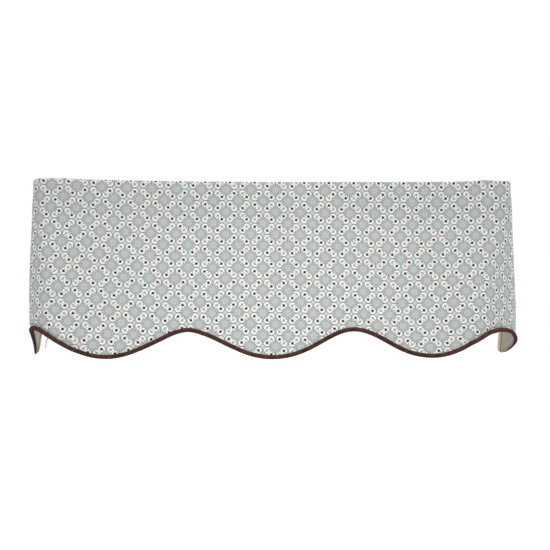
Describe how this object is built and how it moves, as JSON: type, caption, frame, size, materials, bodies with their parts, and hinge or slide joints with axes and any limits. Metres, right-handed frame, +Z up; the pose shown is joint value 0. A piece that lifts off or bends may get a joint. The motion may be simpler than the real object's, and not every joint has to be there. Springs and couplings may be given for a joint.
{
  "type": "window valance",
  "caption": "Lined window valance in a pale blue-grey star and dot print, with short returns and a scalloped hem edged in twisted brown cord.",
  "frame": {"origin": "middle of the top edge of the front", "axes": "+X along the front to the viewer's right, +Y back towards the wall, +Z up"},
  "size_m": [1.1285, 0.2589, 0.4017],
  "materials": {
    "printed_cotton": "matte printed cotton, pale blue-grey with off-white, grey and dark brown",
    "lining_cloth": "matte plain weave, beige-grey",
    "cord_yarn": "twisted dark brown yarn",
    "thread_yarn": "pale grey thread"
  },
  "bodies": {
    "root": {"face_cloth": "printed_cotton", "lining": "lining_cloth", "trim_cord": "cord_yarn", "loose_thread": "thread_yarn"}
  },
  "joints": []
}
